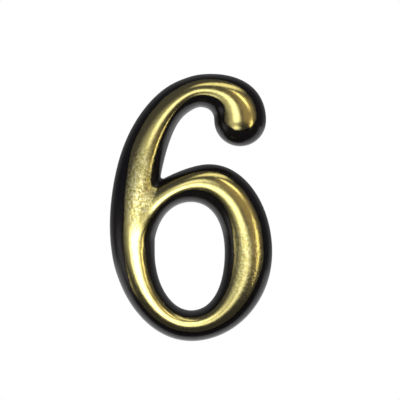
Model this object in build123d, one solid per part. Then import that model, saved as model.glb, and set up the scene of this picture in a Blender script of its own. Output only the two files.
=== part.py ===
from build123d import *
import os

# A door numeral 6, moulded in one piece: a domed stroke on a low side wall, hollow behind.
# Frame: the back lies in the plane y = 0 and faces +Y, the dome faces -Y, and +Z is up.
# The origin is the lowest point of the numeral, on its back, halfway across the bowl.

# Heights and width of the numeral
numeral_height = 50.0
numeral_width = 30.4
bowl_height = 33.1

# Stroke widths at the extremes of the curves
arch_stroke = 6.2
stem_stroke = 8.4
foot_stroke = 5.7
side_stroke = 8.9
bowl_top_stroke = 7.1
ball_diameter = 9.7

# Places of the extremes
ball_x = 9.2
ball_level = 41.3
arch_top_x = 3.7
arch_under_x = 1.7
stem_level = 21.1
side_level = 16.6
bowl_top_x = 3.5

# Junction of stem and bowl: the round of the crotch, the run of the valley from there up to
# the ridges, and how far the bowl's tail and the valley's margins end under the strokes
crotch_radius = 0.8
valley_length = 7.0
tail_cover = 0.2
valley_cover = 0.03

# Fullness of the quarter curves: 0.55 is an ellipse, more is squarer and less is flatter
bowl_fullness = 0.55
stem_fullness = 0.585
counter_fullness = 0.61
ball_fullness = 0.62
tail_fullness = 0.345

# Section of the moulding
side_height = 0.8
crown_rise = 4.2
wall = 1.4
rib = 1.0
depth = side_height + crown_rise

# Lofted sections in each turn of the stroke
turn_steps = 6


def at(x, z):
    return Vector(x, 0, z)


def quarter(start, end, upright_start, fullness):
    """Quarter turn between two extremes: upright at one end, level at the other."""
    corner = at(start.X, end.Z) if upright_start else at(end.X, start.Z)
    return Bezier(start, start + (corner - start) * fullness, end + (corner - end) * fullness, end)


# Extremes of the stroke's outer and inner edge, from the ball round to the tail
left_x = -numeral_width / 2
right_x = numeral_width / 2
stem_inner_x = left_x + stem_stroke

ball_out = at(ball_x + ball_diameter / 2, ball_level)
ball_in = at(ball_x - ball_diameter / 2, ball_level)
arch_out = at(arch_top_x, numeral_height)
arch_in = at(arch_under_x, numeral_height - arch_stroke)
stem_out = at(left_x, stem_level)
stem_in = at(stem_inner_x, side_level)
foot_out = at(0, 0)
foot_in = at(0, foot_stroke)
side_out = at(right_x, side_level)
side_in = at(right_x - side_stroke, side_level)
bowl_out = at(bowl_top_x, bowl_height)
bowl_in = at(0, bowl_height - bowl_top_stroke)
tail_out = at(left_x + tail_cover, stem_level)
tail_in = at(stem_inner_x - tail_cover, side_level)

# The turns of the stroke, each as an outer and an inner edge
arch = (
    quarter(ball_out, arch_out, True, ball_fullness),
    quarter(ball_in, arch_in, True, ball_fullness),
)
stem = (
    quarter(arch_out, stem_out, False, stem_fullness),
    quarter(arch_in, stem_in, False, stem_fullness),
)
heel = (
    quarter(stem_out, foot_out, True, bowl_fullness),
    quarter(stem_in, foot_in, True, bowl_fullness),
)
toe = (
    quarter(foot_out, side_out, False, bowl_fullness),
    quarter(foot_in, side_in, False, counter_fullness),
)
shoulder = (
    quarter(side_out, bowl_out, True, bowl_fullness),
    quarter(side_in, bowl_in, True, counter_fullness),
)
tail = (
    quarter(bowl_out, tail_out, False, tail_fullness),
    quarter(bowl_in, tail_in, False, stem_fullness),
)


def across(turn, share):
    """Outer and inner point of the stroke at a share of a turn."""
    return turn[0] @ share, turn[1] @ share


def stations(turn, first=0, last=turn_steps):
    return [across(turn, step / turn_steps) for step in range(first, last)]


def crossing_plane(outer, inner):
    """Plane across the stroke: local x runs outwards and local y away from the back."""
    outwards = outer - inner
    return Plane(origin=(outer + inner) / 2, x_dir=outwards, z_dir=outwards.cross(Vector(0, -1, 0)))


def section(outer, inner, rise, inset):
    """D-shaped section: a base on the back plane, two side walls and a half ellipse."""
    half = (outer - inner).length / 2 - inset
    dome = EllipticalCenterArc((0, side_height), half, rise - inset, arc_size=180)
    sides = Polyline((-half, side_height), (-half, 0), (half, 0), (half, side_height))
    return crossing_plane(outer, inner) * make_face([dome, sides])


def ball_end(inset):
    """Round end of the stroke: half a turn of its section about the ball's axis."""
    radius = ball_diameter / 2 - inset
    rise = crown_rise - inset
    dome = EllipticalCenterArc((0, side_height), radius, rise)
    sides = Polyline((0, side_height + rise), (0, 0), (radius, 0), (radius, side_height))
    profile = crossing_plane(ball_out, ball_in) * make_face([dome, sides])
    return revolve(profile, Axis(at(ball_x, ball_level), (0, 1, 0)), 180)


def ridge(turn):
    """Line along the top of the stroke."""
    return Spline([(outer + inner) / 2 for outer, inner in stations(turn, last=turn_steps + 1)])


def nearest(line, point):
    """Distance from a point to a line, and the point of the line that is nearest."""
    distance, on_line, _ = line.distance_to_with_closest_points(point)
    return distance, on_line


def crotch_centre():
    """Centre of the crotch's round: it moves down beside the stem until it meets the tail."""
    clearance = crotch_radius - valley_cover
    share = 0
    for _ in range(30):
        run = stem[1] % share
        centre = stem[1] @ share + Vector(-run.Z, 0, run.X) * clearance
        share += (tail[0].distance_to(centre) - clearance) / stem[1].length
    return centre


def valley(inset):
    """Fill between stem and bowl, a hollow slope that rises from the crotch to their ridges.

    In plan its level lines are ellipses about the crotch's centre. They are drawn out along
    the valley, and they are as wide as it takes to touch the stem's own level lines.
    """
    centre = crotch_centre()
    stem_ridge, tail_ridge = ridge(stem), ridge(tail)
    reach, stem_foot = nearest(stem_ridge, centre)
    _, tail_foot = nearest(tail_ridge, centre)
    to_stem = (stem_foot - centre).normalized()
    to_tail = (tail_foot - centre).normalized()
    ground = Plane(origin=centre, x_dir=to_stem + to_tail, z_dir=(0, -1, 0))
    along = to_stem.dot(ground.x_dir)
    across_it = (1 - along**2) ** 0.5
    valley_half_width = (reach**2 - (valley_length * along) ** 2) ** 0.5 / across_it

    # Round funnel with the stroke's own profile, then stretched to the ellipses
    low = crotch_radius + inset
    top = depth - valley_cover - inset
    far = 3 * reach
    slope = EllipticalCenterArc((reach, side_height), reach - low, top - side_height, 90, arc_size=90)
    rest = Polyline((reach, top), (far, top), (far, 0), (low, 0), (low, side_height))
    funnel = revolve(Plane.XZ * make_face([slope, rest]), Axis.Z)
    funnel = ground * scale(funnel, by=(valley_length / reach, valley_half_width / reach, 1))

    # Only the part between the ridges is kept, from where the ellipses touch the stroke
    touch_x = valley_length**2 * along / reach
    touch_y = valley_half_width**2 * across_it / reach
    margins = []
    for line, side in ((stem_ridge, -1), (tail_ridge, 1)):
        _, first = nearest(line, ground.from_local_coords(Vector(touch_x, side * touch_y, 0)))
        first_share = line.param_at_point(first)
        shares = [first_share + (1 - first_share) * step / 12 for step in range(12)]
        margins.append([line @ share for share in shares])
    between = make_face(Polyline([centre] + margins[0] + margins[1][::-1], close=True))
    return funnel & extrude(between, depth, dir=(0, -1, 0))


def numeral(inset):
    """Solid numeral with every surface but the back set inwards.

    The stroke is lofted as two lengths that share sections near the foot, so that they
    run on smoothly where both are cut off, at the middle of the foot.
    """
    overlap = turn_steps // 2
    upper_pairs = stations(arch) + stations(stem) + stations(heel) + stations(toe, last=overlap)
    lower_pairs = stations(heel, first=overlap) + stations(toe) + stations(shoulder) + stations(tail)
    upper = loft([section(*pair, crown_rise, inset) for pair in upper_pairs])
    tail_end = section(tail_out, tail_in, crown_rise - tail_cover, inset)
    lower = loft([section(*pair, crown_rise, inset) for pair in lower_pairs] + [tail_end])
    beside_foot = Box(right_x, 4 * depth, 2 * side_level)
    upper -= Pos(right_x / 2, 0, 0) * beside_foot
    lower -= Pos(left_x / 2, 0, 0) * beside_foot
    return upper + lower + ball_end(inset) + valley(inset)


def cross_rib(turn, share):
    """Plate across the hollow, from the dome down to the back plane."""
    outer, inner = across(turn, share)
    plate = Pos(0, depth / 2, 0) * Box((outer - inner).length, depth, rib)
    return crossing_plane(outer, inner) * plate


# Hollow back, crossed by a rib at the start and in the middle of each turn
rib_places = [(turn, share) for turn in (stem, heel, toe, shoulder) for share in (0, 0.5)]
rib_places += [(arch, 0.5), (tail, 0)]
pockets = numeral(inset=wall) - [cross_rib(turn, share) for turn, share in rib_places]

numeral_six = numeral(inset=0) - pockets

os.makedirs("parts", exist_ok=True)
export_step(numeral_six, "parts/numeral_six.step")
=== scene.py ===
import math

import bmesh
import bpy
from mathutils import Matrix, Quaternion, Vector


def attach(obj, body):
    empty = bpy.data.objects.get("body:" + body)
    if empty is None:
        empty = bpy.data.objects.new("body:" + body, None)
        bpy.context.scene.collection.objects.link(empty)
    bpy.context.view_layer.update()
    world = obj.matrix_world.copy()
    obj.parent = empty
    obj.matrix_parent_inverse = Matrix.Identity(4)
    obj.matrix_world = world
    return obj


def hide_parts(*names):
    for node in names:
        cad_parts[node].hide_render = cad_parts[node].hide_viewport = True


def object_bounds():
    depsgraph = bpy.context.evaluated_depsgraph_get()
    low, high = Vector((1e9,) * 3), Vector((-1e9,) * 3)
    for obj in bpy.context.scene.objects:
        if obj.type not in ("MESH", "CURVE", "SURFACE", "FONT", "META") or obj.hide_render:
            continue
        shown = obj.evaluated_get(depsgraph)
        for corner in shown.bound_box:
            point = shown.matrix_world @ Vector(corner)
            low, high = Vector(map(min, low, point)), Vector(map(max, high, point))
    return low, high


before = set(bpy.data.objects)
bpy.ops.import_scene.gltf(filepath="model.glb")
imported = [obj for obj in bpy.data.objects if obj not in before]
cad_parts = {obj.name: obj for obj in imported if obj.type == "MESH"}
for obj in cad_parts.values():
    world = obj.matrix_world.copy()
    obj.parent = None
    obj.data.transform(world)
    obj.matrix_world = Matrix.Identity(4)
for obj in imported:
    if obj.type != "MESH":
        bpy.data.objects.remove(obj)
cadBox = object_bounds()
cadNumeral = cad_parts["numeral_six"]
print("frame loaded:", len(cadNumeral.data.polygons), "triangles in the numeral")


# helpers for node trees: a socket among the inputs is linked, anything else is set
def addNode(tree, kind, inputs, **settings):
    node = tree.nodes.new(kind)
    for name, value in settings.items():
        setattr(node, name, value)
    for key, value in inputs.items():
        if isinstance(value, bpy.types.NodeSocket):
            tree.links.new(value, node.inputs[key])
        else:
            node.inputs[key].default_value = value
    return node


def maths(tree, operation, *values):
    return addNode(tree, "ShaderNodeMath", dict(enumerate(values)), operation=operation).outputs[0]


def ramp(tree, value, span, levels=(0.0, 1.0), kind="SMOOTHSTEP"):
    inputs = {
        "Value": value,
        "From Min": span[0],
        "From Max": span[1],
        "To Min": levels[0],
        "To Max": levels[1],
    }
    return addNode(tree, "ShaderNodeMapRange", inputs, interpolation_type=kind).outputs[0]


def blend(tree, share, first, second):
    inputs = {0: share, 6: first, 7: second}  # the colour sockets of a Mix node
    return addNode(tree, "ShaderNodeMix", inputs, data_type="RGBA").outputs[2]


def noise(tree, place, grain):
    inputs = {"Vector": place, "Scale": grain[0], "Detail": grain[1]}
    return addNode(tree, "ShaderNodeTexNoise", inputs).outputs[0]


def emptyMaterial(name):
    material = bpy.data.materials.new(name)
    material.use_nodes = True
    material.node_tree.nodes.clear()
    return material, material.node_tree


# the moulding's finish: black gloss plastic, with brass foil stamped on its crown, in metres
numeralSkin = {
    "foilHeight": 0.0040,  # over the back, where the foil ends
    "shadeLean": 0.0014,  # painted shade: the foil ends higher on the lower flanks, so black plastic stands where they fall in shade
    "shadeSlip": 0.0008,  # painted shade too: it ends higher on the far left, where the numeral falls in shade
    "shadeSlipSpan": (-0.0105, -0.0135),  # x where that begins and where it is full
    "foilLip": 0.00006,  # the metal comes in over this much height, and the colour after it
    "foilFade": 0.00024,
    "edgeDrift": 0.00030,  # slow wander of the foil's edge
    "edgeRag": 0.00026,  # specks along it
    "brass": (0.85, 0.73, 0.27, 1),
    "brassOlive": (0.76, 0.68, 0.25, 1),
    "brassWorn": (0.40, 0.36, 0.13, 1),  # dull flecks in the hammered patches
    "brassPale": (1.0, 0.95, 0.56, 1),  # pale grains there
    "brassFoldShade": (0.17, 0.145, 0.05, 1),  # painted shade in the fold under the junction
    "black": (0.0120, 0.0107, 0.0096, 1),
    "blackBrown": (0.0200, 0.0170, 0.0140, 1),
    "brassGloss": (0.09, 0.25),  # roughness from the clearest to the most smeared places
    "blackGloss": (0.12, 0.32),
    "patches": [  # hammered where the bowl leaves the stem, and less so on the bowl's right side
        {"centre": (-0.0094, -0.0045, 0.0285), "reach": (0.0042, 0.006, 0.0095), "share": 1.0},
        {"centre": (0.0105, -0.0045, 0.0150), "reach": (0.0050, 0.006, 0.0110), "share": 0.45},
    ],
    # painted shade: the foil is darkened where the fold under the junction falls dark
    "foldShade": {"centre": (-0.0084, -0.0045, 0.0226), "reach": (0.0022, 0.006, 0.0036), "share": 0.9},
    "spotFade": (0.35, 1.1),  # shares of a spot's reach where it begins to fade and is gone
    "mottleElsewhere": 0.14,  # share of the hammering that goes on all over
    "mottleDepth": 0.000080,
    "mottleDull": 0.10,  # roughness that full hammering adds
    "rippleDepth": 0.000012,
    "noiseMiddle": 0.5,
    "fleckSpan": (0.50, 0.36),  # the hammering's lows are flecks and its highs are grains
    "fleckDepth": 0.75,
    "grainSpan": (0.50, 0.62),
    "grainDepth": 0.80,
    "driftNoise": (240.0, 1.0),  # scale and detail of each noise
    "ragNoise": (2800.0, 2.0),
    "hammerNoise": (2100.0, 3.0),
    "rippleNoise": (420.0, 2.0),
    "toneNoise": (300.0, 4.0),
    "smearNoise": (900.0, 5.0),
}


def foilMasks(tree, skin, surface):
    place = surface.outputs["Object"]
    axes = addNode(tree, "ShaderNodeSeparateXYZ", {0: place}).outputs
    facing = addNode(tree, "ShaderNodeSeparateXYZ", {0: surface.outputs["Normal"]}).outputs

    # the height over the back, less what raises the foil's edge on lower flanks and on the far left,
    # painting shade there as black plastic
    down = maths(tree, "MINIMUM", facing["Z"], 0.0)
    shadeLeaned = maths(tree, "MULTIPLY_ADD", down, -skin["shadeLean"], axes["Y"])
    leftShade = ramp(tree, axes["X"], skin["shadeSlipSpan"], (0.0, skin["shadeSlip"]))
    height = maths(tree, "MULTIPLY", maths(tree, "ADD", shadeLeaned, leftShade), -1.0)

    # the edge has a slow wander and a ragged fringe
    drift = noise(tree, place, skin["driftNoise"])
    rag = noise(tree, place, skin["ragNoise"])
    drifted = maths(tree, "MULTIPLY_ADD", drift, skin["edgeDrift"], height)
    ragged = maths(tree, "MULTIPLY_ADD", rag, skin["edgeRag"], drifted)
    edge = skin["foilHeight"] + (skin["edgeDrift"] + skin["edgeRag"]) / 2
    metal = ramp(tree, ragged, (edge - skin["foilLip"], edge))
    foil = ramp(tree, ragged, (edge, edge + skin["foilFade"]))  # after the metal, so no pale rim shows
    return metal, foil


def spotMask(tree, skin, place, spot):
    inputs = {"Vector": place, "Location": spot["centre"], "Scale": spot["reach"]}
    local = addNode(tree, "ShaderNodeMapping", inputs, vector_type="TEXTURE").outputs[0]
    out = addNode(tree, "ShaderNodeVectorMath", {0: local}, operation="LENGTH").outputs["Value"]
    return ramp(tree, out, skin["spotFade"], (spot["share"], 0.0))


def foiledPlastic(skin):
    material, tree = emptyMaterial("foiledPlastic")
    surface = addNode(tree, "ShaderNodeTexCoord", {})
    place = surface.outputs["Object"]
    metal, foil = foilMasks(tree, skin, surface)

    # relief: dents in the foil's hammered patches, and a faint ripple all over
    mottled = skin["mottleElsewhere"]
    for patch in skin["patches"]:
        mottled = maths(tree, "MAXIMUM", spotMask(tree, skin, place, patch), mottled)
    hammer = noise(tree, place, skin["hammerNoise"])
    level = maths(tree, "SUBTRACT", hammer, skin["noiseMiddle"])
    dents = maths(tree, "MULTIPLY", level, maths(tree, "MULTIPLY", mottled, metal))
    dentHeight = maths(tree, "MULTIPLY", dents, skin["mottleDepth"])
    ripple = noise(tree, place, skin["rippleNoise"])
    relief = maths(tree, "MULTIPLY_ADD", ripple, skin["rippleDepth"], dentHeight)
    bump = addNode(tree, "ShaderNodeBump", {"Strength": 1.0, "Distance": 1.0, "Height": relief})

    # colours of the two finishes
    tone = noise(tree, place, skin["toneNoise"])
    black = blend(tree, tone, skin["black"], skin["blackBrown"])
    brass = blend(tree, tone, skin["brassOlive"], skin["brass"])
    lows = ramp(tree, hammer, skin["fleckSpan"], (0.0, skin["fleckDepth"]), "LINEAR")
    highs = ramp(tree, hammer, skin["grainSpan"], (0.0, skin["grainDepth"]), "LINEAR")
    flecked = blend(tree, maths(tree, "MULTIPLY", lows, mottled), brass, skin["brassWorn"])
    grained = blend(tree, maths(tree, "MULTIPLY", highs, mottled), flecked, skin["brassPale"])
    # painted shade: dark brown laid over the foil in the fold under the junction
    foldShade = spotMask(tree, skin, place, skin["foldShade"])
    foldShaded = blend(tree, foldShade, grained, skin["brassFoldShade"])
    colour = blend(tree, foil, black, foldShaded)

    # their gloss, smeared here and there
    smear = noise(tree, place, skin["smearNoise"])
    blackGloss = ramp(tree, smear, (0.0, 1.0), skin["blackGloss"], "LINEAR")
    brassGloss = ramp(tree, smear, (0.0, 1.0), skin["brassGloss"], "LINEAR")
    dulled = maths(tree, "MULTIPLY_ADD", mottled, skin["mottleDull"], brassGloss)
    gloss = addNode(tree, "ShaderNodeMix", {0: metal, 2: blackGloss, 3: dulled}, data_type="FLOAT")

    inputs = {
        "Base Color": colour,
        "Metallic": metal,
        "Roughness": gloss.outputs[0],
        "Normal": bump.outputs[0],
    }
    shader = addNode(tree, "ShaderNodeBsdfPrincipled", inputs)
    addNode(tree, "ShaderNodeOutputMaterial", {"Surface": shader.outputs[0]})
    return material


# the numeral's mesh, in metres: the foil bridges the fold where the bowl's tail runs into the stem
numeralShape = {
    "crease": 32,  # degrees from which an edge stays sharp
    "mergeWithin": 1e-6,
    "foldCentre": (-0.0088, 0.0198),  # x and z of the fold
    "foldReach": (0.0031, 0.0050),
    "foldMargin": 1.4,  # the mesh is made finer this many reaches out
    "foldCuts": 3,
    "foldRounds": 150,
    "domeFacing": -0.02,  # a normal with less y than this is on the dome
    "placeDigits": 8,  # digits by which a corner is known again
}


def easedNormals(shape, look):
    def outBy(vert):
        x, z = look["foldCentre"]
        wide, high = look["foldReach"]
        return math.hypot((vert.co.x - x) / wide, (vert.co.z - z) / high)

    def near(vert):
        return vert.normal.y < look["domeFacing"] and outBy(vert) < look["foldMargin"]

    def placeOf(vert):
        return vert.co.to_tuple(look["placeDigits"])

    oldPlaces = {placeOf(vert) for vert in shape.verts}
    edges = [edge for edge in shape.edges if near(edge.verts[0]) and near(edge.verts[1])]
    bmesh.ops.subdivide_edges(shape, edges=edges, cuts=look["foldCuts"], use_grid_fill=True)
    bmesh.ops.triangulate(shape, faces=[face for face in shape.faces if len(face.verts) > 3])
    shape.normal_update()
    normals = {}
    for vert in shape.verts:
        if near(vert) and (outBy(vert) < 1 or placeOf(vert) not in oldPlaces):
            normals[vert] = vert.normal.copy()
    for _ in range(look["foldRounds"]):  # each normal goes to the mean of its neighbours'
        for vert in normals:
            mean = Vector()
            for edge in vert.link_edges:
                other = edge.other_vert(vert)
                mean += normals.get(other, other.normal) / edge.calc_length()
            normals[vert] = mean.normalized()
    return normals


def smoothCopy(node, name, look):
    mesh = bpy.data.meshes.new(name)
    shape = bmesh.new()
    shape.from_mesh(node.data)
    bmesh.ops.remove_doubles(shape, verts=shape.verts, dist=look["mergeWithin"])
    shape.normal_update()
    normals = easedNormals(shape, look)
    crease = math.radians(look["crease"])
    for face in shape.faces:
        face.smooth = True
    for edge in shape.edges:
        edge.smooth = len(edge.link_faces) == 2 and edge.calc_face_angle() < crease
    shape.verts.index_update()
    eased = [Vector() for vert in shape.verts]  # a zero leaves a corner's own normal
    for vert, normal in normals.items():
        eased[vert.index] = normal
    shape.to_mesh(mesh)
    shape.free()
    mesh.normals_split_custom_set_from_vertices(eased)
    copy = bpy.data.objects.new(name, mesh)
    bpy.context.scene.collection.objects.link(copy)
    return copy


numeral = smoothCopy(cadNumeral, "numeralSix", numeralShape)
numeral.data.materials.append(foiledPlastic(numeralSkin))
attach(numeral, "root")
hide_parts("numeral_six")
print("numeral:", len(numeral.data.vertices), "corners after merging")

# pale floor, well under the numeral, and a surround that the camera sees as white
stageLook = {
    "floorLevel": -0.100,
    "floorSize": 1.0,
    "floorSplit": 0.03,  # depth where the half ahead meets the half behind
    "floorColour": (0.86, 0.86, 0.85, 1),
    "floorWhite": 0.88,  # share of plain white that the camera and the gloss see
    "white": (1, 1, 1, 1),
    "roomLow": (0.034, 0.033, 0.050, 1),  # dark in front and below, dim in front and above
    "roomHigh": (0.065, 0.064, 0.095, 1),
    "backLow": (0.90, 0.90, 0.90, 1),  # white behind and below, greyer behind and above
    "backHigh": (0.25, 0.25, 0.26, 1),
    "behindSpan": (0.14, 0.60),  # y of a direction, from front to back
    "aboveSpan": (-0.45, 0.10),  # z of a direction, from low to high
}


def floorPaint(look):
    material, tree = emptyMaterial("floorPaint")
    path = addNode(tree, "ShaderNodeLightPath", {}).outputs
    seen = maths(tree, "MAXIMUM", path["Is Camera Ray"], path["Is Glossy Ray"])
    share = maths(tree, "MULTIPLY", seen, look["floorWhite"])
    paint = addNode(tree, "ShaderNodeBsdfDiffuse", {"Color": look["floorColour"]}).outputs[0]
    white = addNode(tree, "ShaderNodeEmission", {"Color": look["white"], "Strength": 1.0}).outputs[0]
    mixed = addNode(tree, "ShaderNodeMixShader", {0: share, 1: paint, 2: white}).outputs[0]
    addNode(tree, "ShaderNodeOutputMaterial", {"Surface": mixed})
    return material


def paleFloor(name, look, front, back, paint):
    mesh = bpy.data.meshes.new(name)
    shape = bmesh.new()
    bmesh.ops.create_grid(shape, x_segments=1, y_segments=1, size=0.5)  # a square of 1
    bmesh.ops.scale(shape, verts=shape.verts, vec=(look["floorSize"], back - front, 1))
    bmesh.ops.translate(shape, verts=shape.verts, vec=(0, (front + back) / 2, look["floorLevel"]))
    shape.to_mesh(mesh)
    shape.free()
    mesh.materials.append(paint)
    floor = bpy.data.objects.new(name, mesh)
    bpy.context.scene.collection.objects.link(floor)
    return floor


def whiteSurround(look):
    world = bpy.data.worlds.new("whiteSurround")
    world.use_nodes = True
    tree = world.node_tree
    tree.nodes.clear()
    direction = addNode(tree, "ShaderNodeTexCoord", {}).outputs["Generated"]
    axes = addNode(tree, "ShaderNodeSeparateXYZ", {0: direction}).outputs
    behind = ramp(tree, axes["Y"], look["behindSpan"])
    above = ramp(tree, axes["Z"], look["aboveSpan"])
    front = blend(tree, above, look["roomLow"], look["roomHigh"])
    rear = blend(tree, above, look["backLow"], look["backHigh"])
    room = blend(tree, behind, front, rear)
    seen = addNode(tree, "ShaderNodeLightPath", {}).outputs["Is Camera Ray"]
    light = blend(tree, seen, room, look["white"])
    back = addNode(tree, "ShaderNodeBackground", {"Color": light, "Strength": 1.0}).outputs[0]
    addNode(tree, "ShaderNodeOutputWorld", {"Surface": back})
    bpy.context.scene.world = world


paint = floorPaint(stageLook)
half = stageLook["floorSize"] / 2
split = stageLook["floorSplit"]
paleFloor("floorBehind", stageLook, split, half, paint)
floorAhead = paleFloor("floorAhead", stageLook, -half, split, paint)
floorAhead.visible_glossy = False  # the foil shows a dark studio in front of the numeral
whiteSurround(stageLook)
print("stage: floor and surround")

# lamps: metres from the numeral's middle, and degrees to the right and up, seen from the front
numeralMiddle = (cadBox[0] + cadBox[1]) / 2
plainLamp = {"spread": 180, "roll": 0, "aim": numeralMiddle, "colour": (1.0, 1.0, 1.0)}
lamps = {
    "keyUpper": {
        "right": -2, "up": 24, "distance": 0.043, "wide": 0.030, "high": 0.024,
        "soft": 0.85, "brightness": 0.50, "spread": 100, "aim": (0.004, -0.005, 0.046),
    },
    "keyMiddle": {
        "right": 0, "up": -4, "distance": 0.028, "wide": 0.026, "high": 0.021,
        "soft": 0.9, "brightness": 1.5, "spread": 150, "aim": (0.004, -0.005, 0.014),
    },
    "keyHeel": {
        "right": -12, "up": -22, "distance": 0.030, "wide": 0.050, "high": 0.028,
        "soft": 0.7, "brightness": 0.54, "spread": 66, "aim": (-0.0125, -0.005, 0.0145),
    },
    "keyGlow": {
        "right": -18, "up": 6, "distance": 0.060, "wide": 0.084, "high": 0.090,
        "soft": 0.85, "brightness": 0.46, "colour": (1.0, 1.0, 0.97),
    },
    "frontFill": {
        "right": 35, "up": 14, "distance": 0.205, "wide": 0.26, "high": 0.24,
        "soft": 0.6, "brightness": 0.25, "colour": (1.0, 0.76, 0.44),
    },
    "warmTop": {
        "right": 24, "up": 60, "distance": 0.080, "wide": 0.090, "high": 0.032,
        "soft": 0.6, "brightness": 1.2, "colour": (1.0, 0.96, 0.82),
    },
    "warmCorner": {
        "right": 37, "up": 33, "distance": 0.085, "wide": 0.016, "high": 0.056,
        "soft": 0.7, "brightness": 2.6, "roll": 45, "colour": (1.0, 0.92, 0.68),
    },
    "warmSide": {
        "right": 50, "up": -4, "distance": 0.085, "wide": 0.012, "high": 0.062,
        "soft": 0.5, "brightness": 2.8, "colour": (1.0, 0.90, 0.64),
    },
    "sideSheen": {
        "right": -74, "up": -16, "distance": 0.090, "wide": 0.080, "high": 0.070,
        "soft": 0.8, "brightness": 0.75, "colour": (1.0, 0.95, 0.90),
    },
}


def softBox(data, soft):
    data.use_nodes = True
    tree = data.node_tree
    tree.nodes.clear()
    place = addNode(tree, "ShaderNodeNewGeometry", {}).outputs["Parametric"]
    inputs = {"Vector": place, "Location": (-1, -1, 0), "Scale": (2, 2, 0)}  # from -1 to 1 across
    middle = addNode(tree, "ShaderNodeMapping", inputs).outputs[0]
    out = addNode(tree, "ShaderNodeVectorMath", {0: middle}, operation="LENGTH").outputs["Value"]
    fade = ramp(tree, out, (1 - soft, 1.0), (1.0, 0.0))
    glow = addNode(tree, "ShaderNodeEmission", {"Strength": fade}).outputs[0]
    addNode(tree, "ShaderNodeOutputLight", {"Surface": glow})


def hangLamp(name, lamp):
    data = bpy.data.lights.new(name, "AREA")
    data.shape = "RECTANGLE"
    data.size = lamp["wide"]
    data.size_y = lamp["high"]
    data.color = lamp["colour"]
    data.energy = lamp["brightness"] * math.pi * lamp["wide"] * lamp["high"]
    data.spread = math.radians(lamp["spread"])
    softBox(data, lamp["soft"])
    right = math.radians(lamp["right"])
    up = math.radians(lamp["up"])
    away = Vector((math.sin(right) * math.cos(up), -math.cos(right) * math.cos(up), math.sin(up)))
    light = bpy.data.objects.new(name, data)
    light.location = numeralMiddle + away * lamp["distance"]
    light.rotation_mode = "QUATERNION"
    roll = Quaternion((0, 0, 1), math.radians(lamp["roll"]))
    light.rotation_quaternion = (Vector(lamp["aim"]) - light.location).to_track_quat("-Z", "Y") @ roll
    light.visible_camera = False
    bpy.context.scene.collection.objects.link(light)


for name, lamp in lamps.items():
    hangLamp(name, {**plainLamp, **lamp})
print("lamps:", ", ".join(lamps))

# camera: straight on, with the numeral where the photograph has it
photoView = {
    "fieldWidth": 0.0750,  # metres across the picture at the numeral's back
    "centreX": 0.00168,
    "centreZ": 0.02639,
    "distance": 0.40,
    "elevation": 0.0,
    "sensor": 36.0,
    "clip": (0.01, 10.0),
}


def photoCamera(look):
    data = bpy.data.cameras.new("photoCamera")
    data.sensor_width = look["sensor"]
    data.lens = look["sensor"] * look["distance"] / look["fieldWidth"]
    data.clip_start, data.clip_end = look["clip"]
    camera = bpy.data.objects.new("photoCamera", data)
    lift = math.radians(look["elevation"])
    back = Vector((0, -math.cos(lift), math.sin(lift)))
    camera.location = Vector((look["centreX"], 0, look["centreZ"])) + back * look["distance"]
    camera.rotation_mode = "QUATERNION"
    camera.rotation_quaternion = (-back).to_track_quat("-Z", "Y")
    bpy.context.scene.collection.objects.link(camera)
    bpy.context.scene.camera = camera


photoCamera(photoView)
bpy.context.scene.view_settings.view_transform = "Standard"
print("camera set")
